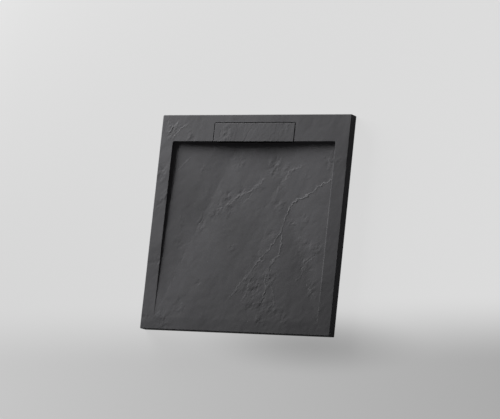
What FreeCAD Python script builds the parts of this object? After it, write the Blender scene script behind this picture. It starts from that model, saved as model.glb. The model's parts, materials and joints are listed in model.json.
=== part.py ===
"""Square stone-resin shower tray with a hidden drain at one edge.

Z = 0 is the tray's underside, the origin is the middle of it, and +Y points to the drain side.
The floor falls to the drain side in three flat facets, a lift-off cover hides the channel with
the waste, and the waste is clamped to a bottle-type trap with a ball-jointed outlet. Millimetres.
"""
import FreeCAD, Part
import math
import os

from FreeCAD import Vector

os.makedirs("parts", exist_ok=True)

# Tray
trayWidth = 800.0
trayLength = 800.0
trayHeight = 35.0
trayCornerRadius = 3.0
trayEdgeRadius = 1.8
sideRim = 55.0
drainRim = 100.0
frontRim = 44.0
drainDepth = 20.0  # below the rim, at the middle of the drain wall
cornerDepth = 11.0  # below the rim, at the two back corners of the basin
lowWidth = 142.0  # width of the middle facet where it meets the drain wall
wallLean = 0.10  # basin walls lean outward, millimetres per millimetre of height
basinCornerRadius = 7.0
rimBevel = 1.5

# Drain channel and its cover
coverPocketWidth = 345.0
coverPocketDepth = 72.0  # from the drain wall into the rim
pocketCornerRadius = 6.0
coverGap = 3.0
coverThickness = 10.0
coverEdgeRadius = 1.5
coverNoseChamfer = 2.5
padHeight = 3.0
padInset = 1.0
padWidth = 5.0
padLength = 20.0
endLedge = 14.0
rearLedge = 10.0
channelDepth = 24.0  # below the rim, at the waste
channelFall = 2.0
channelCornerRadius = 5.0

# Waste
flangeRadius = 30.5
flangeThickness = 1.6
flangeClearance = 0.7
gasketThickness = 1.0
wasteHoleRadius = 25.0
sleeveRadius = 23.8
sleeveBore = 21.5
sleeveSeatBore = 19.0
sleeveSeatDepth = 11.0  # from the flange's top to the step that carries the dip tube
sleeveLength = 27.0
threadClearance = 0.15
runningClearance = 0.05

# Hair strainer
strainerLipRadius = 25.5
strainerCupRadius = 20.0
strainerCupDepth = 6.5
strainerWall = 1.4
strainerHole = 2.0
knobRadius = 7.0
knobHeight = 9.0
knobStemRadius = 3.5

# Dip tube
dipLipThickness = 3.0
dipLipClearance = 0.4
dipTubeClearance = 0.3
dipTubeWall = 3.0
waterSeal = 30.0
ringSection = 1.1
ringDrop = 8.0  # from the step to the middle of the O-ring
gripBarWidth = 5.0

# Trap
trapGasketThickness = 3.0
trapGasketRadius = 39.0
trapCollarRadius = 42.0
trapCollarThickness = 5.0
trapNeckWall = 4.2
trapNeckLength = 17.0
trapRadius = 50.0
trapWall = 3.0
trapRoofThickness = 4.0
bowlFloorGap = 8.0  # below the dip tube's end
bowlSeam = 22.0  # from the bowl's floor up to the welded seam
bowlSpigot = 8.0
seamBeadRadius = 2.0
weldClearance = 0.1

# Ball-jointed outlet, along -X
outletDrop = 34.0  # from the tray's underside to the outlet's axis
outletBore = 16.5
stubRadius = 25.5
ballRadius = 22.0
ballBore = 14.0
ballSpacing = 18.0  # from the trap's wall to the ball's centre
ballSealDepth = 6.0
ballSealStart = 9.0
socketClearance = 0.5
ballRunning = 0.05
nutClearance = 0.3
nutWall = 4.5
nutReach = 12.0
nutLip = 13.0
nutOpening = 18.7
gripCount = 10
gripRadius = 1.8
slipRingThickness = 1.0
neckRadius = 16.0
neckLength = 34.0

# Socket for the waste pipe at the end of the outlet
pipeRadius = 20.0
pipeClearance = 0.3
socketLength = 30.0
pipeSealWidth = 6.0
pipeSealThickness = 3.0
slipWasherThickness = 1.2
pipeNutReach = 14.0
pipeNutLip = 3.0

# Levels and places that follow from the sizes above
frontY = frontRim - trayLength / 2
wallY = trayLength / 2 - drainRim
sideX = trayWidth / 2 - sideRim
footY = wallY - wallLean * drainDepth
pocketBackY = wallY + coverPocketDepth
channelBackY = pocketBackY - rearLedge
channelHalf = coverPocketWidth / 2 - endLedge
drainY = (footY + channelBackY) / 2
coverBottomZ = trayHeight - coverThickness
ledgeZ = coverBottomZ - padHeight
channelZ = trayHeight - channelDepth
flangeBottomZ = channelZ - flangeThickness
recessZ = flangeBottomZ - gasketThickness
stepZ = channelZ - sleeveSeatDepth
sleeveEndZ = channelZ - sleeveLength
outletZ = -outletDrop
dipEndZ = outletZ - outletBore - waterSeal
bowlFloorZ = dipEndZ - bowlFloorGap
seamZ = bowlFloorZ + bowlSeam
trapTopZ = -trapGasketThickness
collarZ = trapTopZ - trapCollarThickness
roofZ = collarZ - trapRoofThickness
dipTubeRadius = sleeveSeatBore - dipTubeClearance
ballX = -(trapRadius + ballSpacing)
nutRadius = stubRadius + threadClearance + nutWall
socketStart = neckLength
socketEnd = socketStart + socketLength


def box(x0, x1, y0, y1, z0, z1):
    return Part.makeBox(x1 - x0, y1 - y0, z1 - z0, Vector(x0, y0, z0))


def prism(points, direction):
    return Part.Face(Part.makePolygon(points + points[:1])).extrude(direction)


def turned(profile):
    """Solid of revolution about Z, from (radius, height) points."""
    points = [Vector(r, 0, z) for r, z in profile]
    return Part.Face(Part.makePolygon(points + points[:1])).revolve(Vector(), Vector(0, 0, 1), 360)


def ring(outer, inner, z0, z1):
    return turned([(inner, z0), (outer, z0), (outer, z1), (inner, z1)])


def cylinder(radius, z0, z1, x=0.0, y=0.0):
    return Part.makeCylinder(radius, z1 - z0, Vector(x, y, z0))


def atDrain(shape):
    return shape.translated(Vector(0, drainY, 0))


def alongOutlet(shape):
    """Lays a shape made along Z on the outlet's axis: its origin is the ball's centre, +Z leads out."""
    return shape.rotated(Vector(), Vector(0, 1, 0), -90).translated(Vector(ballX, drainY, outletZ))


def convexSolid(faces):
    """Solid from the corner points of each face of a convex body."""
    corners = [point for face in faces for point in face]
    middle = sum(corners, Vector()) * (1 / len(corners))
    sides = []
    for face in faces:
        normal = (face[1] - face[0]).cross(face[2] - face[0])
        outward = face if normal.dot(face[0] - middle) > 0 else face[::-1]
        sides.append(Part.Face(Part.makePolygon(outward + outward[:1])))
    return Part.Solid(Part.Shell(sides))


def uprightEdges(shape, keep):
    """Edges that run along Z and whose middle passes the test keep(x, y)."""
    found = []
    for edge in shape.Edges:
        middle = edge.CenterOfMass
        ends = [v.Point for v in edge.Vertexes]
        if len(ends) == 2 and (ends[0] - ends[1]).cross(Vector(0, 0, 1)).Length < 1e-6 and keep(middle.x, middle.y):
            found.append(edge)
    return found


def basinWalls(bottomZ, lean, inset):
    """Walls of the basin from one height to just above the rim, open at the front, with round back corners.

    lean is how far they open per millimetre of height, and inset how far they stand in at the rim.
    """
    def outline(z):
        out = lean * (z - trayHeight) - inset
        near = frontY - trayLength / 8
        return [Vector(-sideX - out, near, z), Vector(sideX + out, near, z),
                Vector(sideX + out, wallY + out, z), Vector(-sideX - out, wallY + out, z)]

    low = outline(bottomZ)
    high = outline(trayHeight + 1)
    sides = [[low[i - 1], low[i], high[i], high[i - 1]] for i in range(4)]
    walls = convexSolid([low, high] + sides)
    corners = [e for e in walls.Edges
               if e.CenterOfMass.y > wallY - 10 and e.BoundBox.ZLength > 1 and e.BoundBox.YLength < 10]
    return walls.makeFillet(basinCornerRadius, corners)


def under(a, b, c):
    """Everything below the plane through three points."""
    normal = (b - a).cross(c - a)
    corners = []
    for x, y in ((-1, -1), (1, -1), (1, 1), (-1, 1)):
        x *= trayWidth
        y *= trayLength
        z = a.z - (normal.x * (x - a.x) + normal.y * (y - a.y)) / normal.z
        corners.append(Vector(x, y, z))
    return prism(corners, Vector(0, 0, -4 * trayHeight))


def basin():
    """The hollow of the basin: three flat floor facets, and walls that fade out at the front."""
    hollow = basinWalls(0, wallLean, 0)
    hollow = hollow.fuse(basinWalls(trayHeight - rimBevel, 1, -rimBevel))
    front = [Vector(side * sideX, frontY, trayHeight) for side in (-1, 1)]
    low = [Vector(side * lowWidth / 2, footY, trayHeight - drainDepth) for side in (-1, 1)]
    back = [Vector(side * sideX, wallY, trayHeight - cornerDepth) for side in (-1, 1)]
    hollow = hollow.cut(under(front[0], front[1], low[1]))
    hollow = hollow.cut(under(front[0], low[0], back[0]))
    return hollow.cut(under(front[1], back[1], low[1]))


def channel():
    """Pocket for the cover with a ledge on three sides, and the channel under it that falls to the waste."""
    half = coverPocketWidth / 2
    pocket = box(-half, half, footY - 1, pocketBackY, ledgeZ, trayHeight + 1)
    pocket = pocket.makeFillet(pocketCornerRadius, uprightEdges(pocket, lambda x, y: y > wallY))
    deep = box(-channelHalf, channelHalf, footY, channelBackY, channelZ, trayHeight)
    deep = deep.makeFillet(channelCornerRadius, uprightEdges(deep, lambda x, y: y > wallY))
    flat = flangeRadius + flangeClearance
    for side in (-1, 1):
        wedge = prism(
            [
                Vector(side * flat, footY, channelZ),
                Vector(side * (channelHalf + 1), footY, channelZ),
                Vector(side * (channelHalf + 1), footY, channelZ + channelFall),
            ],
            Vector(0, channelBackY - footY, 0),
        )
        deep = deep.cut(wedge)
    return pocket.fuse(deep).removeSplitter()


def trayBody():
    slab = box(-trayWidth / 2, trayWidth / 2, -trayLength / 2, trayLength / 2, 0, trayHeight)
    slab = slab.makeFillet(trayCornerRadius, uprightEdges(slab, lambda x, y: True))
    rimEdges = [e for e in slab.Edges if e.BoundBox.ZMin > trayHeight - 0.001]
    slab = slab.makeFillet(trayEdgeRadius, rimEdges)
    slab = slab.cut(basin()).cut(channel())
    slab = slab.cut(atDrain(cylinder(flangeRadius + flangeClearance, recessZ, channelZ + 1)))
    slab = slab.cut(atDrain(cylinder(wasteHoleRadius, -1, recessZ + 1)))
    return slab


def padPlaces():
    """Middles of the six pads: two on each end ledge, two on the rear ledge."""
    half = coverPocketWidth / 2
    endX = half - (endLedge + coverGap) / 2
    rearY = channelBackY + (rearLedge - coverGap) / 2
    places = []
    for side in (-1, 1):
        places.append((side * endX, wallY + padLength, padWidth, padLength))
        places.append((side * endX, channelBackY - padLength / 2, padWidth, padLength))
        places.append((side * coverPocketWidth / 6, rearY, padLength, padWidth))
    return places


def drainCover():
    half = coverPocketWidth / 2 - coverGap
    plate = box(-half, half, wallY, pocketBackY - coverGap, coverBottomZ, trayHeight)
    plate = plate.makeFillet(pocketCornerRadius - coverGap, uprightEdges(plate, lambda x, y: y > wallY + 1))
    topEdges = [e for e in plate.Edges if e.BoundBox.ZMin > trayHeight - 0.001]
    plate = plate.makeFillet(coverEdgeRadius, topEdges)
    nose = [e for e in plate.Edges if e.BoundBox.ZMax < coverBottomZ + 0.001 and e.BoundBox.YMax < wallY + 0.001]
    plate = plate.makeChamfer(coverNoseChamfer, nose)
    for x, y, dx, dy in padPlaces():
        pocket = box(x - dx / 2, x + dx / 2, y - dy / 2, y + dy / 2, coverBottomZ - 1, coverBottomZ + padInset)
        plate = plate.cut(pocket)
    return plate


def coverPads():
    pads = [box(x - dx / 2, x + dx / 2, y - dy / 2, y + dy / 2, ledgeZ, coverBottomZ + padInset)
            for x, y, dx, dy in padPlaces()]
    return Part.makeCompound(pads)


def wasteFlange():
    """Pressed flange with its threaded sleeve; a step inside the sleeve carries the dip tube."""
    body = turned([
        (sleeveBore, stepZ),
        (sleeveSeatBore, stepZ),
        (sleeveSeatBore, sleeveEndZ),
        (sleeveRadius, sleeveEndZ),
        (sleeveRadius, flangeBottomZ),
        (flangeRadius, flangeBottomZ),
        (flangeRadius, channelZ - flangeThickness / 2),
        (flangeRadius - flangeThickness / 2, channelZ),
        (sleeveBore, channelZ),
    ])
    return atDrain(body)


def flangeGasket():
    return atDrain(ring(flangeRadius, wasteHoleRadius, recessZ, flangeBottomZ))


def hairStrainer():
    """Perforated cup with a lip on the flange and a knob to lift it by."""
    wall = strainerWall
    cupZ = channelZ - strainerCupDepth
    knobZ = cupZ + wall + strainerCupDepth + knobHeight - wall
    body = turned([
        (0, cupZ),
        (strainerCupRadius, cupZ),
        (strainerCupRadius, channelZ),
        (strainerLipRadius, channelZ),
        (strainerLipRadius, channelZ + wall / 2),
        (strainerLipRadius - wall / 2, channelZ + wall),
        (strainerCupRadius - wall, channelZ + wall),
        (strainerCupRadius - wall, cupZ + wall),
        (knobStemRadius + 1, cupZ + wall),
        (knobStemRadius, cupZ + wall + 1),
        (knobStemRadius, knobZ - 4),
        (knobRadius, knobZ - 2.5),
        (knobRadius, knobZ - 1),
        (knobRadius - 1, knobZ),
        (0, knobZ),
    ])
    holes = []
    for count, radius in ((8, strainerCupRadius * 0.42), (16, strainerCupRadius * 0.74)):
        for i in range(count):
            angle = 2 * math.pi * i / count
            holes.append(cylinder(strainerHole, cupZ - 1, cupZ + wall + 0.5,
                                  radius * math.cos(angle), radius * math.sin(angle)))
    slot = box(strainerCupRadius - wall - 0.4, strainerCupRadius + 0.6, -1.2, 1.2,
               cupZ + wall + 0.6, channelZ - 0.8)
    for i in range(18):
        holes.append(slot.rotated(Vector(), Vector(0, 0, 1), 20 * i))
    return atDrain(body.cut(Part.makeCompound(holes)))


def dipTube():
    """Removable tube that dips into the trap's water, with an O-ring groove and a grip bar."""
    lip = sleeveBore - dipLipClearance
    bore = dipTubeRadius - dipTubeWall
    groove = ringSection + 0.1
    ringZ = stepZ - ringDrop
    floor = sleeveSeatBore - runningClearance - 2 * ringSection
    body = turned([
        (bore, dipEndZ),
        (dipTubeRadius, dipEndZ),
        (dipTubeRadius, ringZ - groove),
        (floor, ringZ - groove),
        (floor, ringZ + groove),
        (dipTubeRadius, ringZ + groove),
        (dipTubeRadius, stepZ),
        (lip, stepZ),
        (lip, stepZ + dipLipThickness - 0.6),
        (lip - 0.6, stepZ + dipLipThickness),
        (bore + 1.5, stepZ + dipLipThickness),
        (bore, stepZ + dipLipThickness - 2),
    ])
    bar = box(-bore - 0.5, bore + 0.5, -gripBarWidth / 2, gripBarWidth / 2,
              stepZ + dipLipThickness - 2.6, stepZ + dipLipThickness)
    bar = bar.common(cylinder(bore + 1, stepZ, stepZ + dipLipThickness))
    return atDrain(body.fuse(bar).removeSplitter())


def dipTubeRing():
    middle = sleeveSeatBore - runningClearance - ringSection
    return atDrain(Part.makeTorus(middle, ringSection, Vector(0, 0, stepZ - ringDrop)))


def trapGasket():
    return atDrain(ring(trapGasketRadius, wasteHoleRadius, trapTopZ, 0))


def trapBody():
    """Upper half of the trap: collar and neck for the sleeve, roof, wall and the outlet's stub."""
    neck = sleeveRadius + threadClearance
    inner = trapRadius - trapWall
    neckEndZ = trapTopZ - trapNeckLength
    body = turned([
        (neck, neckEndZ),
        (neck + trapNeckWall, neckEndZ),
        (neck + trapNeckWall, roofZ),
        (inner - 2, roofZ),
        (inner, roofZ - 2),
        (inner, seamZ),
        (trapRadius, seamZ),
        (trapRadius, roofZ + trapRoofThickness - 3),
        (trapRadius - 3, collarZ),
        (trapCollarRadius, collarZ),
        (trapCollarRadius, trapTopZ),
        (neck, trapTopZ),
    ])
    body = atDrain(body)
    seat = ballSealStart + ballSealDepth
    stub = alongOutlet(cylinder(stubRadius, -ballSpacing - trapWall, -1))
    stub = stub.cut(alongOutlet(cylinder(ballRadius + socketClearance, -seat, 1)))
    stub = stub.cut(atDrain(cylinder(trapRadius - trapWall / 2, bowlFloorZ, 0)))
    body = body.fuse(stub)
    return body.cut(alongOutlet(cylinder(outletBore, -ballSpacing - trapWall - 8, 0)))


def trapBowl():
    """Lower half of the trap: a cup with a spigot inside the upper half and a bead at the seam."""
    inner = trapRadius - trapWall
    spigot = inner - weldClearance
    floor = bowlFloorZ - trapWall
    body = turned([
        (0, floor),
        (trapRadius - 6, floor),
        (trapRadius, floor + 6),
        (trapRadius, seamZ - seamBeadRadius),
        (trapRadius + seamBeadRadius, seamZ - seamBeadRadius),
        (trapRadius + seamBeadRadius, seamZ),
        (spigot, seamZ),
        (spigot, seamZ + bowlSpigot),
        (spigot - trapWall + 0.5, seamZ + bowlSpigot),
        (spigot - trapWall + 0.5, bowlFloorZ + 5),
        (spigot - trapWall - 4.5, bowlFloorZ),
        (0, bowlFloorZ),
    ])
    return atDrain(body)


def ballSeal():
    seat = ballSealStart + ballSealDepth
    body = ring(ballRadius + socketClearance - 0.1, outletBore + 0.4, -seat, -ballSealStart)
    return alongOutlet(body.cut(Part.makeSphere(ballRadius + ballRunning)))


def grips(nut, radius, z0, z1):
    """Scallops round a nut that give it a hold for the fingers."""
    for i in range(gripCount):
        angle = 2 * math.pi * i / gripCount
        nut = nut.cut(cylinder(gripRadius * 2, z0, z1, (radius + gripRadius) * math.cos(angle),
                               (radius + gripRadius) * math.sin(angle)))
    return nut


def unionNut():
    """Screws onto the stub and holds the ball against its seal."""
    bore = stubRadius + threadClearance
    body = turned([
        (bore, -nutReach),
        (nutRadius - 1, -nutReach),
        (nutRadius, 1 - nutReach),
        (nutRadius, nutLip - 3),
        (nutRadius - 3, nutLip),
        (nutOpening, nutLip),
        (nutOpening, -1 + slipRingThickness),
        (bore, -1 + slipRingThickness),
    ])
    body = body.cut(Part.makeSphere(ballRadius + nutClearance))
    return alongOutlet(grips(body, nutRadius, 1.5 - nutReach, nutLip - 4))


def slipRing():
    """Lets the nut turn on the stub's end without dragging the seal."""
    return alongOutlet(ring(stubRadius, ballRadius + socketClearance, -1, -1 + slipRingThickness))


def outletTail():
    """Ball, neck and pipe socket in one piece; the ball swivels under the nut."""
    socket = pipeRadius + pipeClearance
    ball = Part.makeSphere(ballRadius)
    rear = math.sqrt(ballRadius ** 2 - neckRadius ** 2)
    body = turned([
        (0, rear - 3),
        (neckRadius, rear - 3),
        (neckRadius, socketStart - 7),
        (stubRadius - 3, socketStart - 3),
        (stubRadius - 3, socketEnd - pipeNutReach - 3),
        (stubRadius, socketEnd - pipeNutReach - 1),
        (stubRadius, socketEnd),
        (0, socketEnd),
    ])
    body = body.fuse(ball)
    body = body.cut(cylinder(ballBore, -ballRadius - 1, socketEnd + 1))
    body = body.cut(cylinder(socket, socketStart, socketEnd + 1))
    return alongOutlet(body.cut(cylinder(socket + pipeSealThickness, socketEnd - pipeSealWidth, socketEnd + 1)))


def pipeSeal():
    """Tapered ring that the pipe nut squeezes onto the waste pipe."""
    bore = pipeRadius + pipeClearance
    outer = bore + pipeSealThickness - 0.1
    body = turned([
        (bore, socketEnd - pipeSealWidth),
        (outer - 1, socketEnd - pipeSealWidth),
        (outer, socketEnd - pipeSealWidth + 2),
        (outer, socketEnd),
        (bore, socketEnd),
    ])
    return alongOutlet(body)


def slipWasher():
    bore = pipeRadius + pipeClearance
    return alongOutlet(ring(stubRadius - 0.2, bore, socketEnd, socketEnd + slipWasherThickness))


def pipeNut():
    bore = stubRadius + threadClearance
    lipZ = socketEnd + slipWasherThickness
    body = turned([
        (bore, socketEnd - pipeNutReach),
        (nutRadius - 1, socketEnd - pipeNutReach),
        (nutRadius, socketEnd - pipeNutReach + 1),
        (nutRadius, lipZ + pipeNutLip - 2),
        (nutRadius - 2, lipZ + pipeNutLip),
        (pipeRadius + 2 * pipeClearance, lipZ + pipeNutLip),
        (pipeRadius + 2 * pipeClearance, lipZ),
        (bore, lipZ),
    ])
    return alongOutlet(grips(body, nutRadius, socketEnd - pipeNutReach + 1.5, lipZ + pipeNutLip - 3))


pieces = {
    "tray_body": trayBody,
    "drain_cover": drainCover,
    "cover_pads": coverPads,
    "waste_flange": wasteFlange,
    "flange_gasket": flangeGasket,
    "hair_strainer": hairStrainer,
    "dip_tube": dipTube,
    "dip_tube_o_ring": dipTubeRing,
    "trap_gasket": trapGasket,
    "trap_body": trapBody,
    "trap_bowl": trapBowl,
    "ball_seal": ballSeal,
    "slip_ring": slipRing,
    "union_nut": unionNut,
    "outlet_tail": outletTail,
    "pipe_seal": pipeSeal,
    "slip_washer": slipWasher,
    "pipe_nut": pipeNut,
}

for name, make in pieces.items():
    shape = make()
    shape.exportStep("parts/" + name + ".step")
    print(name, len(shape.Solids), "solid", round(shape.Volume / 1000, 2), "cm3", shape.isValid())
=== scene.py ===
import json
import math

import bpy
import numpy as np
from mathutils import Matrix, Vector, noise


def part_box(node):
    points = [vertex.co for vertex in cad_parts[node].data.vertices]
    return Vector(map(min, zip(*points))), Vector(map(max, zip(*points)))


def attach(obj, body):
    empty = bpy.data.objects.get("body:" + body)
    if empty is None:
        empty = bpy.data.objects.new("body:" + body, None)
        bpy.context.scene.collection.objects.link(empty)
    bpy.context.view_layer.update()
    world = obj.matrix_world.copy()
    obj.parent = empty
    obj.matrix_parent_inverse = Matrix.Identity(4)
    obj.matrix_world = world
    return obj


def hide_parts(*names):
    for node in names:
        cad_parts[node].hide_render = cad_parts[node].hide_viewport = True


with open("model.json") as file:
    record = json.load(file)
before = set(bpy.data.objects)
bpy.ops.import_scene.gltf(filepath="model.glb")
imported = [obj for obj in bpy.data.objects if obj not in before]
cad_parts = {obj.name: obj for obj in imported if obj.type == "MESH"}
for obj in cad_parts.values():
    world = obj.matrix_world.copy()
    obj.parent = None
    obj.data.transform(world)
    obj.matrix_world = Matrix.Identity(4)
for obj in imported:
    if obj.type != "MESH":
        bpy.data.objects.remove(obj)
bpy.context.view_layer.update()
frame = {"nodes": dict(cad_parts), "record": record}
print("frame loaded:", len(frame["nodes"]), "nodes")

touching = 1e-5  # points as near as this to a face lie on it


def deselectAll():
    if bpy.context.object and bpy.context.object.mode != "OBJECT":
        bpy.ops.object.mode_set(mode="OBJECT")
    bpy.ops.object.select_all(action="DESELECT")


def activate(piece):
    deselectAll()
    piece.select_set(True)
    bpy.context.view_layer.objects.active = piece


def applyPlace(piece):
    activate(piece)
    bpy.ops.object.transform_apply(location=True, rotation=True, scale=True)


def applyModifiers(piece):
    activate(piece)
    for modifier in list(piece.modifiers):
        bpy.ops.object.modifier_apply(modifier=modifier.name)


def cutAway(piece, cutter):
    # takes the cutter out of the piece and deletes it
    modifier = piece.modifiers.new("cut", "BOOLEAN")
    modifier.operation = "DIFFERENCE"
    modifier.solver = "EXACT"
    modifier.object = cutter
    applyModifiers(piece)
    bpy.data.objects.remove(cutter, do_unlink=True)


def readPoints(piece):
    co = np.empty(len(piece.data.vertices) * 3)
    piece.data.vertices.foreach_get("co", co)
    return co.reshape(-1, 3)


def writePoints(piece, co):
    piece.data.vertices.foreach_set("co", co.ravel())
    piece.data.update()


def pick(piece, kind, wanted):
    # selects only the wanted edges or faces, and leaves the piece in edit mode
    activate(piece)
    bpy.ops.object.mode_set(mode="EDIT")
    bpy.ops.mesh.select_mode(type=kind)
    bpy.ops.mesh.select_all(action="DESELECT")
    bpy.ops.object.mode_set(mode="OBJECT")
    parts = piece.data.edges if kind == "EDGE" else piece.data.polygons
    parts.foreach_set("select", np.array(wanted))
    bpy.ops.object.mode_set(mode="EDIT")


# The slate: a cast copy of riven stone, with low terraces, folds and cracks. Metres throughout.
slate = {
    "grainTurn": math.radians(52),  # the cleavage runs from the front left to the right of the drain side
    "terraceReach": 0.15,
    "terraceStretch": 2.0,
    "terraceLevels": 5.0,
    "terraceHeight": 0.00014,
    "terraceEdge": 0.10,
    "bend": 0.02,  # how far the terraces stray from straight
    "bendReach": 0.07,
    "swell": 0.00022,
    "swellReach": 0.12,
    "rough": 0.00008,
    "roughReach": 0.011,
    "roughStretch": 1.8,
    "patchReach": 0.11,  # the roughness comes and goes in patches
    "patchMean": 0.7,
    "patchChange": 2.4,
    "patchDrift": 1.3,  # and grows towards the front right
    "patchLimits": (0.1, 2.4),
    "wander": 0.0058,  # how far veins stray from their drawn lines
    "wanderReach": 0.0130,
    "fadeReach": 0.026,  # veins swell and fade along their length
    "fadeLimits": (0.3, 1.7),
    "taper": 6,  # how quickly they rise from their ends
    "taperFrom": 0.35,
    "fullHighlight": 0.00042,  # a fold this high takes the whole paler vein colour, which is a painted highlight
    "topClearance": 0.0006,  # the face lies this far under the cast blank's top on average
    "topBend": 0.35,  # the share of that clearance in which high places are bent over
}

# Each pattern reads the noise at a place of its own, and every octave is finer and weaker than the last
octaveFade = 0.9
octaveStep = 2.1
seeds = {
    "bend": 4.1,
    "terrace": 11.3,
    "swell": 7.7,
    "rough": 2.9,
    "patch": 9.9,
    "flake": 71.0,
    "fade": 51.0,
    "veinWander": 21.0,
    "flakeWander": 43.0,
    "cloudAndShadeWander": 87.0,
    "creaseWander": 63.0,
}

# Folds of the slate (height above zero) and cracks (below): height, width and points along the line
veins = [
    (0.00054, 0.0020, [
        (0.345, 0.164), (0.336, 0.159), (0.322, 0.151), (0.293, 0.141), (0.270, 0.122), (0.255, 0.112),
        (0.233, 0.098), (0.201, 0.087), (0.187, 0.074), (0.179, 0.061), (0.170, 0.042), (0.164, 0.023),
        (0.158, 0.002), (0.154, -0.025), (0.140, -0.048), (0.128, -0.068), (0.112, -0.092),
        (0.086, -0.121), (0.065, -0.148), (0.052, -0.166), (0.034, -0.196), (0.008, -0.221),
        (-0.002, -0.236), (-0.007, -0.250), (-0.033, -0.277),
    ]),
    (0.00044, 0.0020, [
        (0.154, -0.025), (0.159, -0.050), (0.160, -0.079), (0.156, -0.116), (0.142, -0.126),
        (0.129, -0.143), (0.114, -0.175), (0.109, -0.196), (0.109, -0.218), (0.118, -0.239),
        (0.112, -0.256), (0.110, -0.271), (0.100, -0.288), (0.084, -0.292), (0.068, -0.293),
    ]),
    (0.00024, 0.0018, [
        (0.116, -0.168), (0.122, -0.191), (0.128, -0.206), (0.140, -0.238), (0.154, -0.263),
        (0.158, -0.299),
    ]),
    (0.00030, 0.0015, [
        (0.092, -0.112), (0.080, -0.122), (0.076, -0.136), (0.088, -0.140), (0.097, -0.128),
        (0.092, -0.112),
    ]),
    (-0.00018, 0.0022, [
        (0.130, -0.150), (0.120, -0.186), (0.116, -0.217), (0.119, -0.252), (0.108, -0.281),
        (0.079, -0.299),
    ]),
    (-0.00010, 0.0022, [
        (0.166, 0.000), (0.148, -0.044), (0.120, -0.092), (0.094, -0.122), (0.060, -0.168),
        (0.016, -0.224),
    ]),
    (0.00018, 0.0018, [
        (0.064, -0.182), (0.048, -0.212), (0.037, -0.237), (0.038, -0.262), (0.019, -0.293),
    ]),
    (0.00024, 0.0018, [(0.266, -0.126), (0.262, -0.152), (0.256, -0.185), (0.238, -0.210)]),
    (0.00028, 0.0020, [(0.281, -0.214), (0.296, -0.236), (0.309, -0.248), (0.327, -0.265)]),
    (-0.00014, 0.0022, [(0.098, 0.252), (0.088, 0.222), (0.096, 0.196), (0.088, 0.160)]),
    (0.00014, 0.0020, [(0.090, -0.024), (0.080, -0.060)]),
    (0.00026, 0.0032, [
        (0.216, 0.218), (0.196, 0.206), (0.176, 0.200), (0.156, 0.190), (0.146, 0.168), (0.124, 0.150),
    ]),
    (0.00027, 0.0029, [
        (0.066, 0.172), (0.054, 0.163), (0.036, 0.142), (0.018, 0.131), (0.000, 0.116), (-0.014, 0.112),
        (-0.041, 0.103), (-0.061, 0.087), (-0.072, 0.074), (-0.088, 0.061),
    ]),
    (0.00024, 0.0020, [(-0.105, 0.056), (-0.128, 0.050), (-0.151, 0.045)]),
    (-0.00030, 0.0026, [(-0.080, 0.116), (-0.088, 0.104), (-0.101, 0.082), (-0.112, 0.074)]),
    (-0.00024, 0.0026, [(0.010, 0.112), (-0.006, 0.094), (-0.024, 0.074)]),
    (-0.00014, 0.0026, [(0.088, 0.080), (0.068, 0.058), (0.048, 0.050)]),
    (0.00024, 0.0022, [(-0.269, 0.242), (-0.292, 0.222), (-0.316, 0.194)]),
    (0.00030, 0.0020, [(-0.284, 0.368), (-0.318, 0.345), (-0.330, 0.330), (-0.349, 0.314)]),
    (0.00022, 0.0020, [(-0.346, 0.362), (-0.363, 0.336)]),
    (0.00024, 0.0026, [(0.112, 0.216), (0.103, 0.196)]),
    (0.00012, 0.0040, [(0.108, 0.092), (0.118, 0.062), (0.126, 0.034)]),
    (-0.00024, 0.0028, [(0.318, -0.105), (0.286, -0.128), (0.262, -0.150), (0.250, -0.180)]),
    (0.00030, 0.0026, [(0.338, 0.284), (0.326, 0.262), (0.319, 0.236), (0.327, 0.214), (0.338, 0.196)]),
    (0.00024, 0.0020, [(-0.330, 0.372), (-0.352, 0.350), (-0.372, 0.322)]),
    (0.00016, 0.0020, [(-0.384, 0.200), (-0.392, 0.178)]),
    (0.00014, 0.0020, [(-0.348, 0.104), (-0.356, 0.082)]),
    (-0.00026, 0.0022, [(-0.140, 0.338), (-0.144, 0.318)]),
    (0.00026, 0.0020, [(-0.102, 0.338), (-0.100, 0.306)]),
    (-0.00014, 0.0028, [(-0.276, 0.008), (-0.262, -0.006), (-0.250, -0.002)]),
    (-0.00012, 0.0028, [(-0.196, -0.002), (-0.212, -0.022)]),
]

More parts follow.
